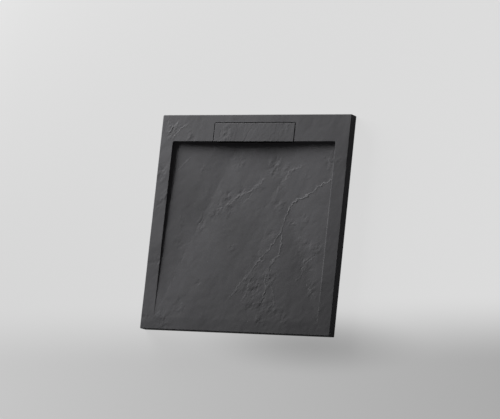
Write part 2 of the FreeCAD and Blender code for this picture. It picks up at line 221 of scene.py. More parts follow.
# Patches where the face has broken into small steps: x, y, radius and how strongly
flakes = {
    "reach": 0.021,
    "stretch": 1.7,
    "levels": 5.0,
    "stepHeight": 0.00019,
    "edge": 0.25,
    "wander": 0.020,
    "wanderReach": 0.030,
    "fullness": 1.35,  # above one, so that the middle of a patch is even
    "fade": 0.08,
    "patches": [
        (-0.059, 0.222, 0.026, 0.9), (-0.088, 0.068, 0.040, 1.0), (-0.138, 0.043, 0.026, 0.8),
        (0.093, 0.212, 0.030, 1.2), (0.122, 0.138, 0.022, 0.8), (0.126, 0.072, 0.026, 0.9),
        (0.332, 0.237, 0.026, 1.1), (0.192, -0.002, 0.018, 0.9), (0.250, -0.052, 0.024, 0.5),
        (0.275, -0.143, 0.026, 0.6), (0.304, -0.233, 0.024, 0.7), (0.118, -0.200, 0.036, 1.1),
        (0.052, -0.233, 0.040, 1.1), (0.085, -0.291, 0.036, 1.1), (0.159, -0.308, 0.024, 0.8),
        (0.106, -0.349, 0.022, 0.9), (0.196, -0.345, 0.018, 0.8), (-0.171, -0.225, 0.016, 0.8),
        (-0.303, -0.365, 0.028, 0.9), (-0.245, -0.316, 0.024, 0.7), (-0.361, -0.151, 0.024, 0.9),
        (-0.385, 0.187, 0.024, 1.1), (-0.350, 0.084, 0.022, 1.0), (-0.381, 0.064, 0.018, 0.9),
        (-0.270, 0.323, 0.018, 0.8), (-0.358, 0.344, 0.028, 1.0), (-0.117, 0.328, 0.022, 1.0),
        (0.135, 0.352, 0.012, 0.8), (-0.212, 0.196, 0.018, 0.6), (-0.191, -0.011, 0.022, 0.8),
        (-0.272, -0.004, 0.018, 0.7), (-0.278, -0.085, 0.018, 0.6), (-0.047, -0.093, 0.014, 0.7),
        (0.068, -0.119, 0.018, 0.7), (0.126, -0.036, 0.018, 0.8), (0.242, 0.022, 0.018, 0.6),
        (0.308, -0.093, 0.024, 0.7), (-0.377, -0.357, 0.018, 1.0), (0.225, 0.163, 0.016, 0.6),
        (0.152, 0.188, 0.026, 0.8), (0.032, 0.140, 0.022, 0.7), (-0.030, 0.104, 0.024, 0.8),
    ],
}

# Broad darker (above zero) and lighter (below) clouds in the stone's colour, partly its own uneven tone and
# partly painted shade, darker towards the front right and lighter along the left front: x, y, radius and
# amount
cloudsAndShade = {
    "wander": 0.024,
    "wanderReach": 0.050,
    "patches": [
        (0.190, -0.090, 0.050, 0.9), (0.225, -0.200, 0.060, 0.7), (0.300, -0.330, 0.120, 1.0),
        (0.100, -0.390, 0.110, 1.0), (-0.140, -0.400, 0.090, 0.7), (0.395, -0.270, 0.110, 1.4),
        (-0.020, -0.020, 0.080, 0.9), (0.020, -0.140, 0.080, 0.6), (-0.030, -0.270, 0.110, 0.7),
        (-0.260, 0.080, 0.110, 0.9), (-0.310, -0.160, 0.070, 0.6), (-0.290, 0.360, 0.090, 0.4),
        (-0.180, -0.040, 0.035, -0.6), (-0.385, -0.280, 0.070, -0.5), (-0.080, 0.210, 0.035, -0.7),
        (0.020, 0.210, 0.060, -0.5), (0.240, 0.220, 0.090, -1.0), (0.260, 0.040, 0.070, -0.6),
        (-0.215, -0.110, 0.035, -0.8), (-0.270, -0.220, 0.045, -0.8), (-0.320, -0.320, 0.035, -0.7),
        (-0.285, -0.085, 0.030, 0.6), (-0.320, -0.220, 0.030, 0.6), (-0.220, 0.050, 0.040, 0.4),
        (0.270, -0.070, 0.035, -0.8), (0.320, -0.200, 0.034, -0.9), (0.150, 0.020, 0.030, 0.5),
        (0.292, -0.130, 0.032, -0.9), (0.222, -0.098, 0.026, 0.6), (0.256, -0.176, 0.028, 0.7),
    ],
}


def fractal(x, y, reach, seed, octaves=3):
    shift = Vector((seed, 1.7 * seed, 0.3 * seed))
    places = (Vector((a / reach, b / reach, 0)) + shift for a, b in zip(x.tolist(), y.tolist()))
    return np.array([noise.fractal(place, octaveFade, octaveStep, octaves) for place in places])


def wandered(x, y, amount, reach, seed, octaves=3):
    # the points moved a little, so that what is drawn through them runs unevenly
    return (x + amount * fractal(x, y, reach, seed, octaves),
            y + amount * fractal(x, y, reach, seed + 13, octaves))


def distanceTo(line, x, y):
    # distance from each point to the line, and how far along it the nearest place is, 0 to 1
    points = np.array(line)
    best = np.full(x.shape, 1e9)
    along = np.zeros(x.shape)
    count = len(points) - 1
    for i in range(count):
        step = points[i + 1] - points[i]
        t = ((x - points[i][0]) * step[0] + (y - points[i][1]) * step[1]) / step.dot(step)
        t = np.clip(t, 0, 1)
        away = np.hypot(x - points[i][0] - t * step[0], y - points[i][1] - t * step[1])
        nearer = away < best
        best = np.where(nearer, away, best)
        along = np.where(nearer, (i + t) / count, along)
    return best, along


def flakeMask(x, y):
    f = flakes
    x, y = wandered(x, y, f["wander"], f["wanderReach"], seeds["flakeWander"])
    mask = np.zeros(x.shape)
    for px, py, radius, strength in f["patches"]:
        away = np.hypot(x - px, y - py) / radius
        mask = np.maximum(mask, strength * np.clip(f["fullness"] * np.exp(-away ** 2) - f["fade"], 0, 1))
    return mask


def cloudsAndPaintedShade(x, y):
    # 0.5 is the stone's own tone, 1 the darkest cloud and 0 the lightest; the clouds are partly uneven stone
    # tone and partly painted shade
    x, y = wandered(x, y, cloudsAndShade["wander"], cloudsAndShade["wanderReach"], seeds["cloudAndShadeWander"])
    shade = np.zeros(x.shape)
    for px, py, radius, amount in cloudsAndShade["patches"]:
        shade = shade + amount * np.exp(-((x - px) ** 2 + (y - py) ** 2) / radius ** 2)
    return 0.5 + 0.5 * np.clip(shade, -1, 1)


def stepped(levels, edge):
    # flat levels joined by short ramps
    part = levels - np.floor(levels)
    ramp = np.clip((part - 1 + edge) / edge, 0, 1)
    return np.floor(levels) + ramp * ramp * (3 - 2 * ramp)


def veinPlaces(x, y):
    # where each point lies among the drawn lines of the veins
    return wandered(x, y, slate["wander"], slate["wanderReach"], seeds["veinWander"])


def terraceHeights(u, v):
    s = slate
    stray = s["bend"] * fractal(u, v, s["bendReach"], seeds["bend"])
    u = u / s["terraceStretch"] + stray
    levels = fractal(u, v + stray, s["terraceReach"], seeds["terrace"], octaves=5)
    return stepped(levels * s["terraceLevels"], s["terraceEdge"]) * s["terraceHeight"]


def roughHeights(x, y, u, v):
    s = slate
    rough = fractal(u / s["roughStretch"], v, s["roughReach"], seeds["rough"], octaves=4)
    patch = s["patchMean"] + s["patchChange"] * fractal(x, y, s["patchReach"], seeds["patch"], octaves=2)
    return s["rough"] * rough * np.clip(patch + s["patchDrift"] * (x - y), *s["patchLimits"])


def flakeHeights(u, v, broken):
    f = flakes
    chips = fractal(u / f["stretch"], v, f["reach"], seeds["flake"], octaves=4)
    return f["stepHeight"] * stepped(f["levels"] * chips, f["edge"]) * broken


def slateRelief(x, y):
    # height of the slate over its blank, how strongly the painted highlight on the folds shows, and how
    # strongly flakes show at each point
    s = slate
    turn = s["grainTurn"]
    u = x * math.cos(turn) + y * math.sin(turn)
    v = -x * math.sin(turn) + y * math.cos(turn)
    broken = flakeMask(x, y)
    height = terraceHeights(u, v) + s["swell"] * fractal(x, y, s["swellReach"], seeds["swell"])
    height = height + roughHeights(x, y, u, v) + flakeHeights(u, v, broken)
    veinX, veinY = veinPlaces(x, y)
    strength = np.clip(1 + fractal(x, y, s["fadeReach"], seeds["fade"]), *s["fadeLimits"])
    foldHighlight = np.zeros(x.shape)
    for high, width, line in veins:
        away, along = distanceTo(line, veinX, veinY)
        taper = np.clip(np.minimum(along, 1 - along) * s["taper"] + s["taperFrom"], 0, 1)
        bump = np.exp(-(away / width) ** 2) * taper * strength
        height = height + high * bump
        if high > 0:
            foldHighlight = np.maximum(foldHighlight, bump * high / s["fullHighlight"])
    return height, np.clip(foldHighlight, 0, 1), np.clip(broken, 0, 1)


def softenTop(height):
    # keeps the relief under the blank's top, bending it over gently where it comes near
    height = height - slate["topClearance"]
    bend = slate["topBend"] * slate["topClearance"]
    return np.where(height > -bend, -bend * np.exp(-(height + bend) / bend), height)


def gridLines(marks, pitch):
    lines = [marks[0]]
    for low, high in zip(marks, marks[1:]):
        count = max(1, round((high - low) / pitch))
        lines += [low + (high - low) * i / count for i in range(1, count + 1)]
    return lines


def layGrid(name, xLines, yLines):
    # a flat net whose lines stand where they are asked
    deselectAll()
    bpy.ops.mesh.primitive_grid_add(x_subdivisions=len(xLines) - 1, y_subdivisions=len(yLines) - 1, size=1)
    piece = bpy.context.object
    piece.name = name
    co = readPoints(piece)
    column = np.rint((co[:, 0] + 0.5) * (len(xLines) - 1)).astype(int)
    row = np.rint((co[:, 1] + 0.5) * (len(yLines) - 1)).astype(int)
    co[:, 0] = np.array(xLines)[column]
    co[:, 1] = np.array(yLines)[row]
    writePoints(piece, co)
    return piece


def refine(piece, wanted):
    # halves the net's faces where their middles are wanted
    faces = piece.data.polygons
    centre = np.empty(len(faces) * 3)
    faces.foreach_get("center", centre)
    centre = centre.reshape(-1, 3)
    pick(piece, "FACE", wanted(centre[:, 0], centre[:, 1]))
    bpy.ops.mesh.subdivide(number_cuts=1)
    bpy.ops.object.mode_set(mode="OBJECT")


def nearVeins(x, y, reach, leastHeight):
    x, y = veinPlaces(x, y)
    near = np.zeros(x.shape, dtype=bool)
    for high, width, line in veins:
        if abs(high) >= leastHeight:
            near |= distanceTo(line, x, y)[0] < reach
    return near


def markRelief(piece, co, foldHighlight, broken):
    # the finish reads these where it paints the highlight on the folds, draws flakes, and paints clouds of
    # stone tone and painted shade
    shade = cloudsAndPaintedShade(co[:, 0], co[:, 1])
    for name, values in (("veinHighlight", foldHighlight), ("flaky", broken), ("cloud", shade)):
        mark = piece.data.attributes.new(name, "FLOAT", "POINT")
        mark.data.foreach_set("value", values.astype(np.float32))


def roundPlan(co, halfX, lowY, highY, radius, frontToo):
    # pulls the corners of a net onto arcs, and returns each point's distance from the outline
    toX = halfX - np.abs(co[:, 0])
    toHigh = highY - co[:, 1]
    toLow = co[:, 1] - lowY
    border = np.minimum(toX, np.minimum(toHigh, toLow))
    ends = [(toHigh, highY - radius)]
    if frontToo:
        ends.append((toLow, lowY + radius))
    for toY, centreY in ends:
        inside = (toX < radius) & (toY < radius)
        out = np.hypot(radius - toX, radius - toY)
        border = np.where(inside, np.minimum(border, radius - out), border)
        over = inside & (out > radius)
        scale = np.where(over, radius / np.maximum(out, 1e-9), 1)
        centreX = np.sign(co[:, 0]) * (halfX - radius)
        co[:, 0] = np.where(over, centreX + (co[:, 0] - centreX) * scale, co[:, 0])
        co[:, 1] = np.where(over, centreY + (co[:, 1] - centreY) * scale, co[:, 1])
    return np.maximum(border, 0)


def edgeDrop(border, radius):
    # how far a rounded edge falls at a distance from the outline
    b = np.clip(radius - border, 0, radius)
    return radius - np.sqrt(np.maximum(radius ** 2 - b ** 2, 0))


def closeBelow(piece, bottomZ):
    # walls down from the net's outline, and a flat underside
    activate(piece)
    bpy.ops.object.mode_set(mode="EDIT")
    bpy.ops.mesh.select_mode(type="EDGE")
    bpy.ops.mesh.select_all(action="DESELECT")
    bpy.ops.mesh.select_non_manifold()
    bpy.ops.mesh.extrude_region_move()
    bpy.ops.transform.resize(value=(1, 1, 0), center_override=(0, 0, bottomZ))
    bpy.ops.mesh.edge_face_add()
    bpy.ops.mesh.select_all(action="SELECT")
    bpy.ops.mesh.normals_make_consistent(inside=False)
    bpy.ops.object.mode_set(mode="OBJECT")


def block(low, high, radius=0.0, segments=6):
    # a box for cutting, with its upright edges rounded if a radius is given
    deselectAll()
    middle = [(a + b) / 2 for a, b in zip(low, high)]
    bpy.ops.mesh.primitive_cube_add(size=1, location=middle, scale=[b - a for a, b in zip(low, high)])
    piece = bpy.context.object
    applyPlace(piece)
    if radius:
        co = readPoints(piece)
        ends = [(co[edge.vertices[0]], co[edge.vertices[1]]) for edge in piece.data.edges]
        pick(piece, "EDGE", [np.hypot(*(a - b)[:2]) < touching < abs(a[2] - b[2]) for a, b in ends])
        bpy.ops.mesh.bevel(offset=radius, segments=segments, affect="EDGES")
        bpy.ops.object.mode_set(mode="OBJECT")
    return piece


def rod(radius, lowZ, highZ, x, y, sides=96):
    deselectAll()
    bpy.ops.mesh.primitive_cylinder_add(vertices=sides, radius=radius, depth=highZ - lowZ,
                                        location=(x, y, (lowZ + highZ) / 2))
    applyPlace(bpy.context.object)
    return bpy.context.object


# The tray: a square slab with a basin in three flat facets
tray = {
    "half": 0.400,
    "top": 0.035,
    "cornerRadius": 0.003,
    "edgeRadius": 0.0018,
    "sideX": 0.345,
    "frontY": -0.356,
    "wallY": 0.300,
    "drainDepth": 0.020,
    "cornerDepth": 0.011,
    "lowHalf": 0.071,
    "wallLean": 0.10,
    "basinCorner": 0.007,
    "rimRoll": 0.0016,
    "footCove": 0.0035,
    "creaseWander": 0.0045,
    "creaseReach": 0.035,
    "pitch": 0.0046,
    # the net's close lines, inwards from the outline and from the basin's rim
    "edgeLines": (0, 0.0003, 0.0009, 0.0018, 0.003),
    "wallLines": (-0.0018, -0.0014, -0.0009, -0.0004, 0,
                  0.0006, 0.0012, 0.0018, 0.0026, 0.0036, 0.0048, 0.0064),
    # the net is halved this near to veins and creases, once and then again, and once on strong patches
    "veinNet": (0.0085, 0.0038),
    "creaseNet": (0.008, 0.003),
    "flakeNet": 0.2,
    "fineVein": 0.00017,  # lower veins aren't halved again
}
footY = tray["wallY"] - tray["wallLean"] * tray["drainDepth"]

drain = {
    "pocketHalf": 0.1725,
    "pocketBack": 0.372,
    "pocketCorner": 0.006,
    "ledgeZ": 0.022,
    "channelHalf": 0.1585,
    "channelBack": 0.362,
    "channelCorner": 0.005,
    "channelZ": 0.011,
    "channelFall": 0.002,
    "flangeClear": 0.0312,
    "recessZ": 0.0084,
    "hole": 0.025,
    "past": 0.01,  # how far cutters run past the faces they cut through
    "frontPast": 0.001,
}
drainY = (footY + drain["channelBack"]) / 2


def planeThrough(a, b, c, x, y):
    # heights of the plane through three points
    corners = np.array([[p[0], p[1], 1.0] for p in (a, b, c)])
    slopes = np.linalg.solve(corners, np.array([p[2] for p in (a, b, c)]))
    return slopes @ [x, y, np.ones(x.shape)]


def basinFloor(x, y):
    t = tray
    low = t["top"] - t["drainDepth"]
    frontLeft = (-t["sideX"], t["frontY"], t["top"])
    frontRight = (t["sideX"], t["frontY"], t["top"])
    backRight = (t["sideX"], t["wallY"], t["top"] - t["cornerDepth"])
    middle = planeThrough(frontLeft, frontRight, (0, footY, low), x, y)
    side = planeThrough(frontRight, (t["lowHalf"], footY, low), backRight, np.abs(x), y)
    return np.minimum(np.maximum(middle, side), t["top"])


def creasePlaces(x, y):
    # where each point lies on the plain facets, so that the folds between them run unevenly
    return wandered(x, y, tray["creaseWander"], tray["creaseReach"], seeds["creaseWander"], octaves=2)


def nearCreases(x, y, reach):
    t = tray
    x, y = creasePlaces(x, y)
    crease = [(t["sideX"], t["frontY"]), (t["lowHalf"], t["wallY"])]
    return (distanceTo(crease, np.abs(x), y)[0] < reach) & (y < t["wallY"])


def trayForm(x, y):
    # height of the plain cast form at each point
    t = tray
    toSide = t["sideX"] - np.abs(x)
    toBack = t["wallY"] - y
    r = t["basinCorner"]
    inside = np.minimum(toSide, toBack)
    corner = (toSide < r) & (toBack < r)
    inside = np.where(corner, r - np.hypot(r - toSide, r - toBack), inside)
    floor = basinFloor(*creasePlaces(x, y))
    depth = t["top"] - floor
    roll = np.minimum(t["rimRoll"], depth / 2)
    cove = np.minimum(t["footCove"], depth / 2)
    rim = t["top"] - edgeDrop(-inside, roll)
    wall = t["top"] - roll - np.maximum(inside, 0) / t["wallLean"]
    foot = t["wallLean"] * depth
    reach = np.clip(cove - (inside - foot), 0, cove)
    bed = floor + cove - np.sqrt(np.maximum(cove ** 2 - reach ** 2, 0))
    return np.where(inside <= 0, rim, np.maximum(wall, bed))


def pocketCutter():
    # the cover's pocket; its front corners stand clear of the wall, so only its rear ones look rounded
    d = drain
    return block((-d["pocketHalf"], footY - d["pocketCorner"] - d["frontPast"], d["ledgeZ"]),
                 (d["pocketHalf"], d["pocketBack"], tray["top"] + d["past"]), d["pocketCorner"])


def channelCutter():
    # the channel under the cover, level around the waste and rising to both ends
    d = drain
    piece = block((-d["channelHalf"], footY, d["channelZ"]),
                  (d["channelHalf"], d["channelBack"], tray["top"]), d["channelCorner"])
    for side in (-1, 1):
        activate(piece)
        bpy.ops.object.mode_set(mode="EDIT")
        bpy.ops.mesh.select_all(action="SELECT")
        bpy.ops.mesh.bisect(plane_co=(side * d["flangeClear"], 0, 0), plane_no=(1, 0, 0))
        bpy.ops.object.mode_set(mode="OBJECT")
    co = readPoints(piece)
    out = np.clip((np.abs(co[:, 0]) - d["flangeClear"]) / (d["channelHalf"] - d["flangeClear"]), 0, 1)
    raised = d["channelZ"] + out * d["channelFall"]
    co[:, 2] = np.where(co[:, 2] < d["channelZ"] + touching, raised, co[:, 2])
    writePoints(piece, co)
    return piece


def trayNet():
    t = tray
    outline = [t["half"] - line for line in t["edgeLines"]]
    sideWall = [t["sideX"] - line for line in t["wallLines"]]
    backWall = [t["wallY"] - line for line in t["wallLines"]]
    xMarks = sorted([-mark for mark in outline + sideWall] + outline + sideWall)
    yMarks = sorted([-mark for mark in outline] + [t["frontY"]] + backWall + outline)
    piece = layGrid("slateTray", gridLines(xMarks, t["pitch"]), gridLines(yMarks, t["pitch"]))
    refine(piece, lambda x, y: nearVeins(x, y, t["veinNet"][0], 0)
           | nearCreases(x, y, t["creaseNet"][0]) | (flakeMask(x, y) > t["flakeNet"]))
    refine(piece, lambda x, y: nearVeins(x, y, t["veinNet"][1], t["fineVein"])
           | nearCreases(x, y, t["creaseNet"][1]))
    return piece


def makeTray():
    t = tray
    d = drain
    piece = trayNet()
    co = readPoints(piece)
    border = roundPlan(co, t["half"], -t["half"], t["half"], t["cornerRadius"], frontToo=True)
    form = trayForm(co[:, 0], co[:, 1])
    relief, foldHighlight, broken = slateRelief(co[:, 0], co[:, 1])
    co[:, 2] = form + softenTop(relief) - edgeDrop(border, t["edgeRadius"])
    writePoints(piece, co)
    markRelief(piece, co, foldHighlight, broken)
    closeBelow(piece, bottomZ=0)
    cutAway(piece, pocketCutter())
    cutAway(piece, channelCutter())
    cutAway(piece, rod(d["flangeClear"], d["recessZ"], t["top"], 0, drainY))
    cutAway(piece, rod(d["hole"], -d["past"], t["top"], 0, drainY))
    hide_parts("tray_body")
    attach(piece, "tray")
    print("tray modelled:", len(piece.data.polygons), "faces")
    return piece


# The cover: a loose plate of the same slate, with small recesses for its pads underneath
cover = {
    "half": 0.1695,
    "front": 0.300,
    "back": 0.369,
    "top": 0.035,
    "bottom": 0.025,
    "cornerRadius": 0.003,
    "edgeRadius": 0.0010,
    "nose": 0.0025,
    "pitch": 0.0019,
    "edgeLines": (0, 0.0003, 0.0008, 0.0015, 0.003),
    "padHalf": 0.0025,
    "padLength": 0.020,
    "padInset": 0.001,
    "rearSidePadY": 0.352,
    "backPadX": 0.0575,
    "past": 0.002,
}


def bevelNose(piece):
    # the lower front edge is cut back, so that water runs in under the cover
    c = cover
    co = readPoints(piece)
    onEdge = (co[:, 2] < c["bottom"] + touching) & (co[:, 1] < c["front"] + touching)
    pick(piece, "EDGE", [onEdge[edge.vertices[0]] and onEdge[edge.vertices[1]] for edge in piece.data.edges])
    bpy.ops.mesh.bevel(offset=c["nose"], segments=1, affect="EDGES")
    bpy.ops.object.mode_set(mode="OBJECT")


def padPlaces():
    # middles and half sizes of the pads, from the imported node's own outer corners
    low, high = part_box("cover_pads")
    c = cover
    sideX = high[0] - c["padHalf"]
    halfLength = c["padLength"] / 2
    places = []
    for side in (-1, 1):
        places.append((side * sideX, low[1] + halfLength, c["padHalf"], halfLength))
        places.append((side * sideX, c["rearSidePadY"], c["padHalf"], halfLength))
        places.append((side * c["backPadX"], high[1] - c["padHalf"], halfLength, c["padHalf"]))
    return places


def makeCover():
    c = cover
    right = [c["half"] - line for line in c["edgeLines"]]
    front = [c["front"] + line for line in c["edgeLines"]]
    back = [c["back"] - line for line in c["edgeLines"]]
    xLines = gridLines(sorted([-mark for mark in right] + right), c["pitch"])
    piece = layGrid("slateCover", xLines, gridLines(sorted(front + back), c["pitch"]))
    co = readPoints(piece)
    border = roundPlan(co, c["half"], c["front"], c["back"], c["cornerRadius"], frontToo=False)
    relief, foldHighlight, broken = slateRelief(co[:, 0], co[:, 1])
    co[:, 2] = c["top"] + softenTop(relief) - edgeDrop(border, c["edgeRadius"])
    writePoints(piece, co)
    markRelief(piece, co, foldHighlight, broken)
    closeBelow(piece, c["bottom"])
    bevelNose(piece)
    for x, y, dx, dy in padPlaces():
        low = (x - dx, y - dy, c["bottom"] - c["past"])
        high = (x + dx, y + dy, c["bottom"] + c["padInset"])
        cutAway(piece, block(low, high))
    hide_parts("drain_cover")
    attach(piece, "cover")
    print("cover modelled:", len(piece.data.polygons), "faces")
    return piece


slateTray = makeTray()
slateCover = makeCover()


# The camera stands where the photograph was taken: high up to the right and a little to the front, far away
shot = {
    "place": (5.3240, -1.4691, 8.6761),
    "aim": (-0.00288, 0.05477, 0),
    "turn": math.radians(6.0555),
    "focalPixels": 2833.5,
    "imageWidth": 500,
    "sensorWidth": 36,
    "farthest": 100,
}


def facing(place, aim, turn=0.0):
    # stands at the place and looks at the aim, with the drain side up, leaning by the turn
    place = Vector(place)
    back = (place - Vector(aim)).normalized()
    up = (Vector((0, 1, 0)) - back * back.y).normalized()
    up = Matrix.Rotation(turn, 3, back) @ up
    axes = Matrix((up.cross(back), up, back)).transposed()
    return Matrix.Translation(place) @ axes.to_4x4()


def makeCamera():
    data = bpy.data.cameras.new("shotCamera")
    data.sensor_width = shot["sensorWidth"]
    data.lens = shot["focalPixels"] / shot["imageWidth"] * shot["sensorWidth"]
    data.clip_end = shot["farthest"]
    camera = bpy.data.objects.new("shotCamera", data)
    bpy.context.scene.collection.objects.link(camera)
    camera.matrix_world = facing(shot["place"], shot["aim"], shot["turn"])
    bpy.context.scene.camera = camera


makeCamera()
print("camera placed")


def feed(tree, socket, value):
    # joins the socket to another node's output, or sets it
    if isinstance(value, bpy.types.NodeSocket):
        tree.links.new(value, socket)
    else:
        socket.default_value = value


def addNode(tree, kind, inputs=None, **settings):
    made = tree.nodes.new("ShaderNode" + kind)
    for name, value in settings.items():
        setattr(made, name, value)
    for name, value in (inputs or {}).items():
        feed(tree, made.inputs[name], value)
    return made


def calculate(tree, operation, a, b):
    return addNode(tree, "Math", {0: a, 1: b}, operation=operation).outputs[0]


def spread(tree, value, fromSpan, toSpan, smooth=False):
    inputs = {"Value": value, "From Min": fromSpan[0], "From Max": fromSpan[1],
              "To Min": toSpan[0], "To Max": toSpan[1]}
    kind = "SMOOTHSTEP" if smooth else "LINEAR"
    return addNode(tree, "MapRange", inputs, interpolation_type=kind).outputs["Result"]


def objectPlace(tree):
    return addNode(tree, "TexCoord").outputs["Object"]


def readMark(tree, name):
    return addNode(tree, "Attribute", attribute_name=name).outputs["Fac"]


def bumpFrom(tree, height, distance, strength=1.0):
    return addNode(tree, "Bump", {"Height": height, "Strength": strength, "Distance": distance})


def newMaterial(name):
    made = bpy.data.materials.new(name)
    made.use_nodes = True
    tree = made.node_tree
    tree.nodes.clear()
    shader = addNode(tree, "BsdfPrincipled")
    addNode(tree, "OutputMaterial", {"Surface": shader.outputs["BSDF"]})
    return made, tree, shader


def makeGrain():
    # fine grain and a cloudy tone, shared by every finish of the object
    group = bpy.data.node_groups.new("grain", "ShaderNodeTree")
    group.interface.new_socket(name="Vector", in_out="INPUT", socket_type="NodeSocketVector")
    for name in ("Grain Size", "Cloud Size"):
        group.interface.new_socket(name=name, in_out="INPUT", socket_type="NodeSocketFloat")
    for name in ("Cloud", "Grain"):
        group.interface.new_socket(name=name, in_out="OUTPUT", socket_type="NodeSocketFloat")
    source = group.nodes.new("NodeGroupInput")
    out = group.nodes.new("NodeGroupOutput")
    for name, detail in (("Grain", 3.0), ("Cloud", 5.0)):
        scale = calculate(group, "DIVIDE", 1, source.outputs[name + " Size"])
        texture = addNode(group, "TexNoise", {"Vector": source.outputs["Vector"], "Scale": scale,
                                              "Detail": detail, "Roughness": 0.6})
        group.links.new(texture.outputs["Fac"], out.inputs[name])
    return group


grain = makeGrain()
noiseSpan = (0.3, 0.7)  # nearly all of a noise lies between these


def placeGrain(tree, grainSize, cloudSize=0.03):
    inputs = {"Vector": objectPlace(tree), "Grain Size": grainSize, "Cloud Size": cloudSize}
    return addNode(tree, "Group", inputs, node_tree=grain)


def mixColours(tree, factor, dark, light):
    ramp = addNode(tree, "ValToRGB", {"Fac": factor})
    for element, place, colour in zip(ramp.color_ramp.elements, noiseSpan, (dark, light)):
        element.position = place
        element.color = (*colour, 1)
    return ramp.outputs["Color"]


# The rubbers and plastics
plainLooks = {
    "pad_rubber": {
        "name": "padRubber",
        "dark": (0.014, 0.014, 0.015),
        "light": (0.022, 0.022, 0.023),
        "rough": (0.6, 0.8),
        "grainSize": 0.0008,
        "grainDepth": 0.00005,
    },
    "seal_rubber": {
        "name": "sealRubber",
        "dark": (0.012, 0.012, 0.012),
        "light": (0.02, 0.02, 0.02),
        "rough": (0.45, 0.6),
        "grainSize": 0.0008,
        "grainDepth": 0.00004,
    },
    "grey_plastic": {
        "name": "greyPlastic",
        "dark": (0.18, 0.185, 0.19),
        "light": (0.22, 0.225, 0.23),
        "rough": (0.35, 0.5),
        "grainSize": 0.0006,
        "grainDepth": 0.00002,
    },
    "white_plastic": {
        "name": "whitePlastic",
        "dark": (0.70, 0.70, 0.68),
        "light": (0.76, 0.76, 0.74),
        "rough": (0.35, 0.5),
        "grainSize": 0.0006,
        "grainDepth": 0.00002,
    },
}


def plainFinish(look):
    made, tree, shader = newMaterial(look["name"])
    placed = placeGrain(tree, look["grainSize"])
    cloud = placed.outputs["Cloud"]
    bump = bumpFrom(tree, placed.outputs["Grain"], look["grainDepth"], strength=0.6)
    feed(tree, shader.inputs["Base Color"], mixColours(tree, cloud, look["dark"], look["light"]))
    feed(tree, shader.inputs["Roughness"], spread(tree, cloud, noiseSpan, look["rough"]))
    feed(tree, shader.inputs["Normal"], bump.outputs["Normal"])
    return made


# The turned steels
steelLooks = {
    "flange_steel": {
        "name": "flangeSteel",
        "dark": (0.52, 0.52, 0.53),
        "light": (0.60, 0.60, 0.61),
        "rough": (0.22, 0.38),
    },
    "strainer_steel": {
        "name": "strainerSteel",
        "dark": (0.50, 0.50, 0.51),
        "light": (0.62, 0.62, 0.63),
        "rough": (0.20, 0.36),
    },
}
turning = {
    "grainSize": 0.0006,
    "cloudSize": 0.012,
    "ringScale": 2600,
    "ringDetail": 3,
    "ringDepth": 0.00001,
}


def turnedFinish(look):
    # steel with fine rings about the waste, as the lathe leaves them
    made, tree, shader = newMaterial(look["name"])
    placed = placeGrain(tree, turning["grainSize"], turning["cloudSize"])
    split = addNode(tree, "SeparateXYZ", {"Vector": objectPlace(tree)})
    flat = addNode(tree, "CombineXYZ", {"X": split.outputs["X"],
                                        "Y": calculate(tree, "SUBTRACT", split.outputs["Y"], drainY)})
    radius = addNode(tree, "VectorMath", {0: flat.outputs["Vector"]}, operation="LENGTH")
    rings = addNode(tree, "TexNoise", noise_dimensions="1D")
    feed(tree, rings.inputs["W"], radius.outputs["Value"])
    feed(tree, rings.inputs["Scale"], turning["ringScale"])
    feed(tree, rings.inputs["Detail"], turning["ringDetail"])
    bump = bumpFrom(tree, rings.outputs["Fac"], turning["ringDepth"], strength=0.5)
    feed(tree, shader.inputs["Base Color"],
         mixColours(tree, placed.outputs["Cloud"], look["dark"], look["light"]))
    feed(tree, shader.inputs["Roughness"], spread(tree, rings.outputs["Fac"], noiseSpan, look["rough"]))
    feed(tree, shader.inputs["Normal"], bump.outputs["Normal"])
    feed(tree, shader.inputs["Metallic"], 1)
    return made


slateLook = {
    "dark": (0.0500, 0.0488, 0.0540),
    "light": (0.0610, 0.0600, 0.0652),
    # the paler colour laid on the folds is a painted highlight
    "veinHighlightTone": (0.1080, 0.1060, 0.1130),
    # the clouds change the colour partly as uneven stone tone and partly as painted shade
    "cloudAndShadeDepth": 0.24,
    "rough": (0.72, 0.84),
    "grainSize": 0.0014,
    "grainDepth": 0.00003,
    "cloudSize": 0.07,
    "mottleSize": 0.0075,
    "mottleStretch": 1.7,
    "mottleDepth": 0.00030,
    "mottleFloor": 0.09,
    "smoothAngle": math.radians(40),  # sharper edges stay crisp
}


def slateColour(tree, placed):
    # the stone's two tones, with a painted highlight on the folds, and darker or lighter in clouds that are
    # partly stone tone and partly painted shade
    look = slateLook
    stone = mixColours(tree, placed.outputs["Cloud"], look["dark"], look["light"])
    veined = addNode(tree, "Mix", data_type="RGBA")
    feed(tree, veined.inputs["Factor"], readMark(tree, "veinHighlight"))
    feed(tree, veined.inputs["A"], stone)
    feed(tree, veined.inputs["B"], (*look["veinHighlightTone"], 1))
    shade = spread(tree, readMark(tree, "cloud"), (0, 1), (1 + look["cloudAndShadeDepth"], 1 - look["cloudAndShadeDepth"]))
    shaded = addNode(tree, "VectorMath", operation="SCALE")
    feed(tree, shaded.inputs["Vector"], veined.outputs["Result"])
    feed(tree, shaded.inputs["Scale"], shade)
    return shaded.outputs["Vector"]


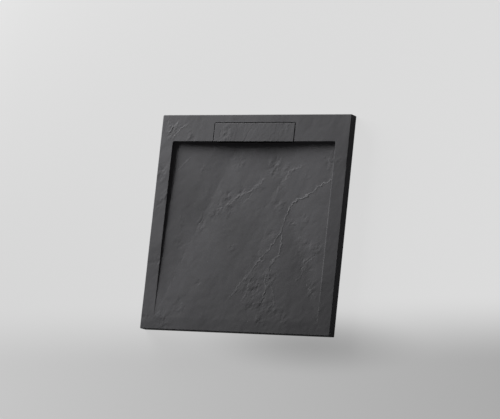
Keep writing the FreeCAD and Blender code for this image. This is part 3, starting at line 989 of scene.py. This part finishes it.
def slateFinish():
    look = slateLook
    made, tree, shader = newMaterial("slateResin")
    placed = placeGrain(tree, look["grainSize"], look["cloudSize"])
    # a mottle drawn out along the cleavage, deep on the flaky patches and faint elsewhere
    turned = addNode(tree, "Mapping", {"Vector": objectPlace(tree), "Rotation": (0, 0, slate["grainTurn"]),
                                       "Scale": (look["mottleStretch"], 1, 1)}, vector_type="TEXTURE")
    mottle = addNode(tree, "TexNoise", {"Vector": turned.outputs["Vector"], "Scale": 1 / look["mottleSize"],
                                        "Detail": 4, "Roughness": 0.55, "Distortion": 0.6})
    amount = spread(tree, readMark(tree, "flaky"), (0, 1), (look["mottleFloor"], 1))
    mottled = calculate(tree, "MULTIPLY", mottle.outputs["Fac"], amount)
    coarse = bumpFrom(tree, mottled, look["mottleDepth"])
    fine = bumpFrom(tree, placed.outputs["Grain"], look["grainDepth"])
    feed(tree, fine.inputs["Normal"], coarse.outputs["Normal"])
    feed(tree, shader.inputs["Base Color"], slateColour(tree, placed))
    feed(tree, shader.inputs["Roughness"], spread(tree, placed.outputs["Grain"], noiseSpan, look["rough"]))
    feed(tree, shader.inputs["Normal"], fine.outputs["Normal"])
    return made


def dress():
    finishes = {"slate_resin": slateFinish()}
    for slot, look in plainLooks.items():
        finishes[slot] = plainFinish(look)
    for slot, look in steelLooks.items():
        finishes[slot] = turnedFinish(look)
    slots = {part["node"]: part["material_slot"] for part in frame["record"]["subparts"]}
    for name, piece in frame["nodes"].items():
        piece.data.materials.clear()
        piece.data.materials.append(finishes[slots[name]])
    for piece in (slateTray, slateCover):
        piece.data.materials.clear()
        piece.data.materials.append(finishes["slate_resin"])
        activate(piece)
        bpy.ops.object.shade_smooth_by_angle(angle=slateLook["smoothAngle"])


dress()
print("finishes done")


# The studio: a pale floor and a round backdrop, and one tall soft lamp low down past the rear left corner
studio = {
    "floorZ": -0.0001,
    "floorSize": 60.0,
    "floorRough": 0.9,
    "floorShade": 0.07,  # the floor's colour for the camera, so that light and shadow show on it a little
    "floorBounce": 0.30,  # and its colour for the light that it throws back at the object
    "glossShare": 0.5,  # how much of the backdrop's own tone glossy pieces see
    "farTone": (0.610, 0.690),  # that tone at the left and the right of the drain side
    "nearShadedTone": (0.520, 0.385),  # and of the front, darker as painted shade, most at the front right
    "toneEdge": 1.1,
    "toneTilt": -0.05,
    "toneStart": -0.27,
    "toneEnd": -0.52,
    "contactAt": (0.30, -0.42, 0),  # the middle of a soft shade on the floor along the tray's front
    "contactReach": (0.52, 0.13, 1),
    "contactDepth": 0.30,
    "sweepRadius": 20.0,
    "sweepHeight": 24.0,
    "sweepSides": 128,
    "keyPlace": (-2.352, 2.193, 0.648),
    "keyWidth": 1.29,
    "keyHeight": 2.70,
    "keyPower": 348.0,
    "fill": 0.10,
}


def sweepTone(tree):
    # pale at the drain side, darker towards the front as painted shade, and a painted shadow along the tray's
    # front
    s = studio
    place = objectPlace(tree)
    split = addNode(tree, "SeparateXYZ", {"Vector": place})
    x, y = split.outputs["X"], split.outputs["Y"]
    across = (-s["toneEdge"], s["toneEdge"])
    leaning = calculate(tree, "ADD", y, calculate(tree, "MULTIPLY", x, s["toneTilt"]))
    nearness = spread(tree, leaning, (s["toneEnd"], s["toneStart"]), (1, 0), smooth=True)
    base = addNode(tree, "Mix", {"Factor": nearness,
                                 "A": spread(tree, x, across, s["farTone"]),
                                 "B": spread(tree, x, across, s["nearShadedTone"])})
    spot = addNode(tree, "Mapping", {"Vector": place, "Location": s["contactAt"], "Scale": s["contactReach"]},
                   vector_type="TEXTURE")
    away = addNode(tree, "VectorMath", {0: spot.outputs["Vector"]}, operation="LENGTH")
    shade = spread(tree, away.outputs["Value"], (0, 1), (1 - s["contactDepth"], 1), smooth=True)
    return calculate(tree, "MULTIPLY", base.outputs["Result"], shade)


def paleFinish():
    s = studio
    made, tree, shader = newMaterial("paleSweep")
    path = addNode(tree, "LightPath").outputs
    gloss = calculate(tree, "MAXIMUM", path["Is Glossy Ray"], path["Is Transmission Ray"])
    gloss = calculate(tree, "MULTIPLY", gloss, s["glossShare"])
    seen = calculate(tree, "MAXIMUM", path["Is Camera Ray"], gloss)
    tone = addNode(tree, "Mix", data_type="RGBA")
    feed(tree, tone.inputs["Factor"], seen)
    feed(tree, tone.inputs["A"], (s["floorBounce"],) * 3 + (1,))
    feed(tree, tone.inputs["B"], (s["floorShade"],) * 3 + (1,))
    feed(tree, shader.inputs["Base Color"], tone.outputs["Result"])
    feed(tree, shader.inputs["Roughness"], s["floorRough"])
    feed(tree, shader.inputs["Specular IOR Level"], 0)
    feed(tree, shader.inputs["Emission Color"], (1, 1, 1, 1))
    feed(tree, shader.inputs["Emission Strength"], calculate(tree, "MULTIPLY", seen, sweepTone(tree)))
    return made


def makeBackdrop():
    s = studio
    pale = paleFinish()
    deselectAll()
    bpy.ops.mesh.primitive_plane_add(size=s["floorSize"], location=(0, 0, s["floorZ"]))
    floor = bpy.context.object
    floor.name = "studioFloor"
    deselectAll()
    bpy.ops.mesh.primitive_cylinder_add(vertices=s["sweepSides"], radius=s["sweepRadius"],
                                        depth=s["sweepHeight"], end_fill_type="NOTHING")
    sweep = bpy.context.object
    sweep.name = "studioSweep"
    for piece in (floor, sweep):
        piece.data.materials.append(pale)


def makeLights():
    s = studio
    data = bpy.data.lights.new("keySoftbox", "AREA")
    data.shape = "RECTANGLE"
    data.size = s["keyWidth"]
    data.size_y = s["keyHeight"]
    data.energy = s["keyPower"]
    key = bpy.data.objects.new("keySoftbox", data)
    bpy.context.scene.collection.objects.link(key)
    key.matrix_world = facing(s["keyPlace"], (0, 0, 0))
    key.visible_camera = False

    world = bpy.data.worlds.new("studioWorld")
    bpy.context.scene.world = world
    world.use_nodes = True
    background = world.node_tree.nodes["Background"]
    background.inputs["Color"].default_value = (1, 1, 1, 1)
    background.inputs["Strength"].default_value = s["fill"]


makeBackdrop()
makeLights()
bpy.context.scene.view_settings.view_transform = "Standard"
print("studio done")
